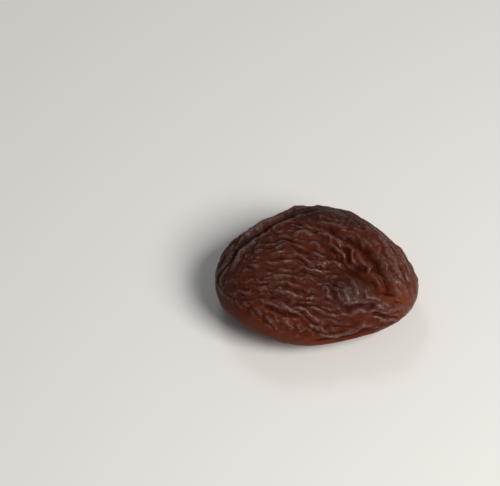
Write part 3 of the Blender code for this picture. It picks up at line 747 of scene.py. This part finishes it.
def wrinkle_grain(places, normals, folds):
    """The way that wrinkles run at each place: lengthwise, turned along the drawn folds near it."""
    lines = np.vstack([line for _, _, line, _ in folds])
    runs = unit(np.vstack([np.gradient(line, axis=0) for _, _, line, _ in folds]))
    drop = -END_DROP * np.tanh(places[:, 0] / END_SPREAD)
    lengthwise = np.stack([np.ones(len(places)), np.full(len(places), SIDEWAYS_DRIFT), drop], axis=1)
    lengthwise = unit(lengthwise - normals * (lengthwise * normals).sum(1)[:, None])
    grain = np.empty_like(places)
    for i, (place, normal, own) in enumerate(zip(places, normals, lengthwise)):
        weight = np.exp(-((lines - place) ** 2).sum(1) / (2 * FOLD_PULL**2))
        pull = (runs * weight[:, None]).T @ runs
        sway = SWAY * noise.noise(Vector(place / SWAY_SIZE))
        own = own * math.cos(sway) + np.cross(normal, own) * math.sin(sway)
        flat = np.eye(3) - np.outer(normal, normal)
        way = np.linalg.eigh(flat @ (pull + OWN_PULL * np.outer(own, own)) @ flat)[1][:, -1]
        grain[i] = way * np.copysign(1.0, way @ own)
    return grain


def wrinkle_field(folds, seed, count, pitch, turned):
    """Seeded places on the skin, each with its wave: (places, along, across, pitches, phases)."""
    draw = np.random.default_rng(seed)
    ways = spread_evenly(count)
    seats = smooth_form(ways)
    upward = normals_of(ways)
    turn = draw.uniform(-turned, turned, count)[:, None]
    grain = wrinkle_grain(seats, upward, folds)
    along = grain * np.cos(turn) + np.cross(upward, grain) * np.sin(turn)
    across = np.cross(upward, along)
    pitches = 2 * pitch * draw.uniform(*PITCH_SPREAD, count)
    phases = draw.uniform(0, 2 * math.pi, count)
    return seats, along, across, pitches, phases


def wrinkle_relief(places, field, length, breadth, depth):
    """Rounded wrinkles with sharp creases between them, from 0 to about 1."""
    order = np.argsort(places[:, 0])
    queue = places[order]
    total = np.zeros(len(places))
    energy = np.full(len(places), LEAST_ENERGY)
    reach = RUN_REACH * length
    starts = np.searchsorted(queue[:, 0], field[0][:, 0] - reach)
    stops = np.searchsorted(queue[:, 0], field[0][:, 0] + reach)
    for first, last, spot, along, across, pitch, phase in zip(starts, stops, *field):
        near = first + np.flatnonzero((np.abs(queue[first:last] - spot) < reach).all(1))
        offset = queue[near] - spot
        run = offset @ along
        side = offset @ across
        off = np.clip((offset**2).sum(1) - run**2 - side**2, 0, None) / depth**2
        weight = np.exp(-0.5 * ((run / length) ** 2 + (side / breadth) ** 2 + off))
        total[near] += weight * np.cos(2 * math.pi * side / pitch + phase)
        energy[near] += weight**2
    wave = np.empty_like(total)
    wave[order] = total / np.sqrt(energy)
    return np.sqrt(wave**2 + CREASE_SOFTNESS)


field = wrinkle_field(folds, WRINKLE_SEED, WRINKLE_PLACES, WRINKLE_PITCH, WRINKLE_TURN)
rows = wrinkle_relief(drawn, field, WRINKLE_LENGTH, WRINKLE_BREADTH, WRINKLE_DEPTH)
print("rows of wrinkles done after", round(time.perf_counter() - began), "s")

# %% Finer wrinkles between the rows
FINE_SEED = 11
FINE_PLACES = 9000
FINE_PITCH = 0.8
FINE_RISE = 0.08
FINE_LENGTH = 0.8
FINE_BREADTH = 0.55
FINE_DEPTH = 0.5
FINE_TURN = 0.9
# Where the finer wrinkles are strongest: (across, up, radius across, radius up, strength)
CRINKLED_PATCHES = (
    (15.5, 4.0, 4.5, 6.0, 2.0), (5.5, 12.8, 8.0, 2.0, 1.4), (-15.5, 9.0, 6.0, 4.0, 2.5),
    (-4.0, 14.6, 9.0, 1.6, 1.6), (2.0, -1.5, 2.5, 2.5, 1.6),
)
# Small lumps that break the crests up: (size in mm, rise in mm)
LUMPS = ((2.2, 0.14), (0.9, 0.06), (0.45, 0.03))
# How much of the lumps is left where there are no wrinkles
LUMPS_ON_PLAIN_SKIN = 0.2


def lumps(places):
    """Small soft lumps all over."""
    total = np.zeros(len(places))
    for width, rise in LUMPS:
        total += rise * np.array([noise.noise(Vector(place / width)) for place in places])
    return total


fine_field = wrinkle_field(folds, FINE_SEED, FINE_PLACES, FINE_PITCH, FINE_TURN)
fine_rows = wrinkle_relief(drawn, fine_field, FINE_LENGTH, FINE_BREADTH, FINE_DEPTH)
print("finer wrinkles done after", round(time.perf_counter() - began), "s")

# %% [markdown]
# ## One closed skin
#
# The folds, the rows and the finer wrinkles are added up and lift each corner of the net along its normal.
# The net is far denser than the flat places need, so it is thinned: Blender's Decimate drops the points
# that matter least. Last the belly is cut off flat a little above its lowest point, as the fruit's own
# weight presses it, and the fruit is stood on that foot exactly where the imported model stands.

# %% Raise the skin
# How many triangles the skin is thinned to
FACES = 190000


def raised_places():
    """Every place of the cushion, lifted or sunk by the folds, the wrinkles and the lumps."""
    relief = folded * belly_fade(places, FOLDS_AT_FOOT)
    share = uneven(places) * wrinkle_share(places)
    relief += share * WRINKLE_RISE * (rows - WRINKLE_LEVEL)
    crinkled = np.maximum(share, painted(places, CRINKLED_PATCHES))
    relief += crinkled * FINE_RISE * (fine_rows - WRINKLE_LEVEL)
    lumpy = LUMPS_ON_PLAIN_SKIN + (1 - LUMPS_ON_PLAIN_SKIN) * share
    relief += lumpy * lumps(places) * belly_fade(places, FOLDS_AT_FOOT)
    return places + normals * relief[:, None]


def thin_out(net, keep):
    """Keep that share of the net's triangles, most of them on the folds."""
    mesh = bpy.data.meshes.new("fine_skin")
    net.to_mesh(mesh)
    helper = bpy.data.objects.new("fine_skin", mesh)
    bpy.context.scene.collection.objects.link(helper)
    decimate = helper.modifiers.new("fewer triangles", "DECIMATE")
    decimate.ratio = keep
    bpy.context.view_layer.update()
    net.clear()
    net.from_mesh(helper.evaluated_get(bpy.context.evaluated_depsgraph_get()).data)
    bpy.data.objects.remove(helper)


def set_on_foot(net):
    """Cut the belly flat, stand the fruit there, and say where its middle and its foot were."""
    low = min(vertex.co.z for vertex in net.verts) + FOOT_DEPTH * MM
    geometry = net.verts[:] + net.edges[:] + net.faces[:]
    plane = {"plane_co": (0, 0, low), "plane_no": (0, 0, -1)}
    cut = bmesh.ops.bisect_plane(net, geom=geometry, clear_outer=True, **plane)
    edges = [item for item in cut["geom_cut"] if isinstance(item, bmesh.types.BMEdge)]
    bmesh.ops.contextual_create(net, geom=edges)
    corners = np.array([vertex.co for vertex in net.verts])
    middle = (corners.min(0) + corners.max(0)) / 2
    bmesh.ops.translate(net, verts=net.verts[:], vec=(-middle[0], -middle[1], -low))
    return middle / MM, low / MM


for vertex, place in zip(net.verts, raised_places() * MM):
    vertex.co = place
bmesh.ops.triangulate(net, faces=net.faces[:])
thin_out(net, FACES / len(net.faces))
moved, floor = set_on_foot(net)
bmesh.ops.recalc_face_normals(net, faces=net.faces[:])
fruit_mesh = bpy.data.meshes.new("apricot_skin")
net.to_mesh(fruit_mesh)
net.free()
fruit_mesh.shade_smooth()
apricot_skin = bpy.data.objects.new("apricot_skin", fruit_mesh)
bpy.context.scene.collection.objects.link(apricot_skin)
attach(apricot_skin, "root")
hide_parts("apricot")
print("the skin has", len(fruit_mesh.polygons), "faces after", round(time.perf_counter() - began), "s")

# %% [markdown]
# ## Masks read from the form
#
# Bloom and dust, partly a painted highlight, sit on the crests, and the flesh shows redder, and darker with
# painted shade, in the creases. So the finish needs to know, at each point, whether it is on a crest or in a
# crease. The mesh is smoothed in a copy, and the height of the true skin over the smoothed one says just
# that. Each mask is kept on the mesh as an attribute, which an Attribute node reads.

# %% Crests and creases
# Rounds of smoothing that take away the finest wrinkles, and then all but the broad form
FINE_ROUNDS = 6
BROAD_ROUNDS = 50
# How much of its own place a point keeps in each round
OWN_SHARE = 0.3


def smoothed(points, ends, rounds):
    """The points after that many rounds of averaging with their neighbours."""
    count = np.bincount(ends.ravel(), minlength=len(points))[:, None]
    for _ in range(rounds):
        total = np.empty_like(points)
        for axis in range(3):
            gained = np.bincount(ends[:, 0], points[ends[:, 1], axis], len(points))
            gained += np.bincount(ends[:, 1], points[ends[:, 0], axis], len(points))
            total[:, axis] = gained
        points = OWN_SHARE * points + (1 - OWN_SHARE) * total / count
    return points


def read_vectors(items, name, count):
    """One row of three numbers for each point of the mesh."""
    values = np.empty(3 * count, np.float32)
    items.foreach_get(name, values)
    return values.reshape(-1, 3).astype(float)


def height_over(base):
    """How far the skin stands out over a smoothed copy of it, in millimetres."""
    return ((points - base) * facing).sum(1)


def keep_mask(name, values):
    """Write one number for each point of the skin on the mesh."""
    attribute = fruit_mesh.attributes.new(name, "FLOAT", "POINT")
    attribute.data.foreach_set("value", values.astype(np.float32))


points = read_vectors(fruit_mesh.vertices, "co", len(fruit_mesh.vertices)) / MM
facing = read_vectors(fruit_mesh.vertex_normals, "vector", len(points))
ends = np.empty(2 * len(fruit_mesh.edges), np.int32)
fruit_mesh.edges.foreach_get("vertices", ends)
ends = ends.reshape(-1, 2)
calmed = smoothed(points, ends, FINE_ROUNDS)
broad = smoothed(calmed, ends, BROAD_ROUNDS)
keep_mask("fine_height", height_over(calmed))
keep_mask("height", height_over(broad))
print("crests stand up to", round(height_over(broad).max(), 2), "mm")

# %% [markdown]
# The broad changes of colour are drawn like the folds, as soft ovals in the eye's plane: the bare red
# channel, the grey mound, the pinkish crescent and the dark slit side. The crescent, the stalk end and the
# near side are made paler with painted light. The far rim is darkened with painted shade, and so are the
# slit side and the mound, whose skin is somewhat darker too. The grey patches are grey bloom and partly a
# painted sheen. The plain front side is red too, and the belly half as much. Out of the eye's reach the
# ovals fade, and only the reddish belly, the crests, the painted shade of the creases and the mottling go on
# round the fruit.

# %% Broad patches of colour
# (across, up, radius across, radius up, strength)
RED_PATCHES = (
    (9.5, 0.4, 5.5, 1.6, 0.9), (15.0, -3.2, 4.0, 2.0, 0.8), (10.5, 5.4, 5.5, 1.8, 0.6),
    (-6.5, 2.2, 7.0, 4.0, 0.30), (2.0, 8.0, 4.0, 2.5, 0.35), (17.0, -6.5, 3.0, 2.0, 0.5),
    (-4.0, -9.4, 10.0, 2.4, 0.60), (7.0, -10.6, 8.0, 1.6, 0.6), (-13.0, -8.0, 4.5, 3.0, 0.5),
    (7.0, -7.8, 7.0, 1.8, 0.45),
)
# Grey bloom, and partly a painted sheen on the far rim, the mound and the middle
GREY_BLOOM_AND_SHEEN_PATCHES = (
    (7.4, -2.8, 4.2, 3.2, 1.0), (2.0, -1.8, 3.0, 2.6, 0.5), (7.0, -8.4, 6.0, 1.6, 0.25),
    (15.5, 3.5, 4.0, 5.0, 0.50), (-9.0, 3.0, 7.0, 6.0, 0.45), (0.0, 0.5, 5.0, 4.0, 0.50),
    (1.0, 9.0, 7.0, 3.0, 0.45),
    (-16.0, 8.0, 5.0, 4.5, 0.75), (-4.0, 14.2, 12.0, 1.8, 0.4), (9.0, 12.5, 6.0, 2.0, 0.45),
    (-9.0, -4.0, 7.0, 3.0, 0.25), (-19.5, 1.0, 2.4, 5.0, 0.5),
)
# Painted shade on the far rim, and painted shade with somewhat darker skin on the slit side and the mound
SHADE_AND_DARK_PATCHES = (
    (-4.0, 14.4, 12.0, 1.8, 1.0), (-16.0, 8.0, 5.0, 4.5, 0.7), (9.0, 12.8, 6.0, 2.0, 0.8),
    (-19.5, 1.0, 2.4, 5.0, 0.4), (7.0, -3.0, 4.0, 3.2, 0.55),
)
# Painted light: paler flesh where light falls on the stalk end, the crescent and the near side
PAINTED_LIGHT_PATCHES = (
    (19.2, -5.2, 3.6, 4.5, 1.0), (15.8, 3.2, 4.5, 5.0, 0.55), (4.0, -13.4, 9.0, 1.8, 0.35),
    (-11.0, -10.0, 6.0, 2.5, 0.3),
)

# How firmly the front side's red sets in, and how much of it is lost between these heights
FRONT_RED = 1.6
FRONT_RED_LOST = 0.5
FRONT_RED_HEIGHTS = (-1.0, -5.0)
# How red the belly is, and the heights between which that sets in
BELLY_RED = 0.5
BELLY_RED_HEIGHTS = (0.0, -4.0)


def red_flesh(places):
    """The strongest red at each place, of the patches, the front side and the belly."""
    front = np.minimum(1.0, FRONT_RED * front_side(places))
    front *= 1 - FRONT_RED_LOST * step(*FRONT_RED_HEIGHTS, places[:, 2])
    belly = BELLY_RED * step(*BELLY_RED_HEIGHTS, places[:, 2])
    return np.maximum.reduce([painted(places, RED_PATCHES), front, belly])


# The skin's points where they were when the folds were drawn, before the fruit was set on its foot
as_drawn = points + [moved[0], moved[1], floor]
keep_mask("red_flesh", red_flesh(as_drawn))
# grey bloom, and partly a painted sheen
keep_mask("grey_bloom_and_sheen", painted(as_drawn, GREY_BLOOM_AND_SHEEN_PATCHES))
# painted shade on the far rim, slit side and mound, with some darker skin
keep_mask("shade_and_dark_skin", painted(as_drawn, SHADE_AND_DARK_PATCHES))
# painted light on the stalk end, the crescent and the near side
keep_mask("painted_light", painted(as_drawn, PAINTED_LIGHT_PATCHES))
print("patches drawn:", len(RED_PATCHES + GREY_BLOOM_AND_SHEEN_PATCHES + SHADE_AND_DARK_PATCHES + PAINTED_LIGHT_PATCHES))

# %% [markdown]
# ## The finish
#
# Dried flesh is dark and slightly see-through, so light comes out of it red where it is thin. Its skin is
# waxy, and dulled by grey dust in fine specks, which is thick on the crests and in the grey patches and
# nearly gone where the flesh is red; this grey is partly real dust and partly a painted highlight. The thin
# ridges keep their wax and shine through it. A Principled shader with some subsurface does the flesh, and
# the masks pick colour, roughness and coat. The colour also holds painted shade in the creases and on the
# far rim, and painted light on the stalk end. A fine grain in the bump breaks the highlights up, because at
# this size the skin is pebbled rather than smooth.

# %% The dried flesh
# Colours of the flesh and the skin: red, green and blue as light given back, and 1 for solid
# Painted shade for the creases, dark and red
CREASE_SHADE = (0.016, 0.0014, 0.0005, 1.0)
FLESH = (0.060, 0.0100, 0.0030, 1.0)
RED_FLESH = (0.092, 0.0125, 0.0018, 1.0)
# Painted light for the brightly lit stalk end and crescent
PAINTED_LIGHT_FLESH = (0.148, 0.0310, 0.0095, 1.0)
# Painted shade, and the somewhat darker skin of the slit side
SHADE_AND_DARK_SKIN = (0.013, 0.0055, 0.0042, 1.0)
# Crests lighter and greyer: bloom, and partly a painted highlight
CREST_BLOOM_AND_HIGHLIGHT = (0.083, 0.0270, 0.0195, 1.0)
# Grey dust, and partly a painted highlight on the crests and ridges
DUST_AND_HIGHLIGHT = (0.125, 0.0780, 0.0700, 1.0)

# The masks kept on the mesh, and three noises: (how many spots to a metre, layers of detail)
KEPT_MASKS = ("height", "fine_height", "red_flesh", "grey_bloom_and_sheen", "painted_light", "shade_and_dark_skin")
MOTTLING = (220.0, 4.0)
SPECKS = (1500.0, 3.0)
GRAIN = (3200.0, 2.0)
# Heights over the smoothed skin, in mm, where open skin, crests and thin ridges begin and are full
OPEN_SKIN_HEIGHTS = (-0.32, 0.04)
CREST_HEIGHTS = (0.0, 0.30)
RIDGE_HEIGHTS = (0.05, 0.13)
# How much the fine height adds to the broad one there, and how far mottling shifts the edges, in mm
FINE_ADDS = 1.5
MOTTLING_SHIFTS = 0.25
# What a thin ridge is found from: the fine height, the broad one, and how far specks shift its edge
RIDGE_FINE = 0.8
RIDGE_BROAD = 0.35
SPECKS_SHIFT = 0.16

# How much of the red, pale and dark patches is even, the rest being mottled
RED_EVEN = 0.5
PALE_EVEN = 0.5
DARK_EVEN = 0.6
# How much of the crests' colour, partly a painted highlight, red flesh hides, and how much of the flesh the
# painted shade of the creases hides
RED_HIDES_CRESTS = 0.6
SHADE_HIDES_FLESH = 0.75

# The strengths of noise at which a speck of dust, partly a painted highlight, begins and is full
SPECK_EDGE = (0.46, 0.57)
# How much dust and painted highlight lies on the crests, on open skin and on the thin ridges, and how much
# away from grey patches
DUST_AND_HIGHLIGHT_ON_CRESTS = 0.58
DUST_AND_HIGHLIGHT_ON_OPEN_SKIN = 0.27
DUST_AND_HIGHLIGHT_ON_RIDGES = 0.50
DUST_AND_HIGHLIGHT_OFF_GREY = 0.36
# How much of it the painted shade and dark skin and the red flesh shed, how well it covers, and the grey,
# partly a painted sheen, that lies under it
DARK_SHEDS_DUST_AND_HIGHLIGHT = 0.45
RED_SHEDS_DUST_AND_HIGHLIGHT = 0.85
DUST_AND_HIGHLIGHT_COVER = 0.75
GREY_UNDER_DUST_AND_HIGHLIGHT = 0.10
# How much wax shines on the crests and on the ridges, what the grey patches add, and what red flesh and the
# patches of painted shade and dark skin lose
WAX_ON_CRESTS = 0.12
WAX_ON_RIDGES = 0.50
WAX_GREY_ADDS = 0.40
RED_SHEDS_WAX = 0.95
DARK_SHEDS_WAX = 0.8
# Roughness of the wax itself, and what mottling, crests, the grey patches and the patches of painted shade
# and dark skin add to it
ROUGHNESS = 0.36
MOTTLING_ROUGHENS = 0.12
CRESTS_ROUGHEN = 0.16
GREY_ROUGHENS = 0.10
DARK_ROUGHENS = 0.2
# The bump: how much of it is specks and not grain, how strong it is, and how high in metres
BUMP_SPECKS = 0.6
BUMP_STRENGTH = 0.8
BUMP_HEIGHT = 0.00016

# Settings that are the same all over the fruit
EVEN_SETTINGS = {
    "Metallic": 0.0,
    "IOR": 1.40,
    "Specular IOR Level": 0.09,
    "Coat Roughness": 0.38,
    "Subsurface Weight": 0.35,
    "Subsurface Radius": (1.0, 0.28, 0.14),
    "Subsurface Scale": 0.0010,
    "Sheen Weight": 0.02,
    "Sheen Roughness": 0.45,
    "Sheen Tint": (0.85, 0.80, 0.78, 1.0),
}


def kept_mask(mask, name):
    """The number kept on the mesh under that name."""
    return mask.node("ShaderNodeAttribute", {"attribute_name": name}, out=2)


def soft_spots(place, scale, detail):
    """Soft spots all through the fruit, from 0 to 1."""
    return place.node("ShaderNodeTexNoise", (), {"Vector": place, "Scale": scale, "Detail": detail})


def flesh_material():
    """Dark flesh with painted light and shade, under dust that is partly a painted highlight and under wax,
    put together from the kept masks and the noises.
    """
    material, shader, mask = new_material("dried_flesh")
    place = mask.node("ShaderNodeTexCoord", out=3)
    height, fine, red, grey, pale, dark = [kept_mask(mask, name) for name in KEPT_MASKS]
    mottling, specks, grain = [soft_spots(place, *kind) for kind in (MOTTLING, SPECKS, GRAIN)]

    # where the skin stands up and where it sinks in, with uneven edges
    raised = height + fine * FINE_ADDS + (mottling - 0.5) * MOTTLING_SHIFTS
    open_skin = raised.between(*OPEN_SKIN_HEIGHTS)
    crest = raised.between(*CREST_HEIGHTS)
    narrow = fine * RIDGE_FINE + height * RIDGE_BROAD + (specks - 0.5) * SPECKS_SHIFT
    ridge = narrow.between(*RIDGE_HEIGHTS)

    # one colour over the other: the broad patches with their painted light and shade, mottled, then the
    # crests, partly a painted highlight, and the painted shade of the creases
    body = (red * (RED_EVEN + mottling)).mixed(FLESH, RED_FLESH)
    # painted light: paler flesh where the light falls
    body = (pale * (PALE_EVEN + (1 - PALE_EVEN) * mottling)).mixed(body, PAINTED_LIGHT_FLESH)
    # the crests lightened: bloom, and partly a painted highlight
    body = (crest * (1 - RED_HIDES_CRESTS * red)).mixed(body, CREST_BLOOM_AND_HIGHLIGHT)
    # painted shade on the far rim and the slit side, with some darker skin
    body = (dark * (DARK_EVEN + (1 - DARK_EVEN) * mottling)).mixed(body, SHADE_AND_DARK_SKIN)
    # painted shade: the creases darkened towards the crease colour
    body = ((1 - open_skin) * SHADE_HIDES_FLESH).mixed(body, CREASE_SHADE)

    # dust, partly a painted highlight, over it all, broken up into specks
    speckled = (specks * 0.5 + grain * 0.5).between(*SPECK_EDGE)
    dust_and_highlight = (DUST_AND_HIGHLIGHT_ON_CRESTS * crest + DUST_AND_HIGHLIGHT_ON_OPEN_SKIN * open_skin) * speckled + DUST_AND_HIGHLIGHT_ON_RIDGES * ridge
    dust_and_highlight = dust_and_highlight * (DUST_AND_HIGHLIGHT_OFF_GREY + (1 - DUST_AND_HIGHLIGHT_OFF_GREY) * grey) * (1 - DARK_SHEDS_DUST_AND_HIGHLIGHT * dark)
    cover = dust_and_highlight * (1 - RED_SHEDS_DUST_AND_HIGHLIGHT * red) * DUST_AND_HIGHLIGHT_COVER + grey * GREY_UNDER_DUST_AND_HIGHLIGHT
    feed(shader, "Base Color", cover.mixed(body, DUST_AND_HIGHLIGHT))

    # dusty skin and the patches of painted shade and dark skin are duller, and wax shines on the crests and
    # ridges
    rough = ROUGHNESS + MOTTLING_ROUGHENS * mottling + CRESTS_ROUGHEN * crest
    feed(shader, "Roughness", rough + GREY_ROUGHENS * grey + DARK_ROUGHENS * dark)
    wax = WAX_ON_CRESTS * crest + (WAX_ON_RIDGES + WAX_GREY_ADDS * grey) * ridge
    feed(shader, "Coat Weight", wax * (1 - RED_SHEDS_WAX * red) * (1 - DARK_SHEDS_WAX * dark))

    pebbles = specks * BUMP_SPECKS + grain * (1 - BUMP_SPECKS)
    bump = {"Height": pebbles, "Strength": BUMP_STRENGTH, "Distance": BUMP_HEIGHT}
    feed(shader, "Normal", mask.node("ShaderNodeBump", (), bump))
    for name, value in EVEN_SETTINGS.items():
        shader.inputs[name].default_value = value
    return material


fruit_mesh.materials.append(flesh_material())
print("the flesh has", len(fruit_mesh.materials[0].node_tree.nodes), "nodes")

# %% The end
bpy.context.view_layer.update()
print("made in", round(time.perf_counter() - began), "s")
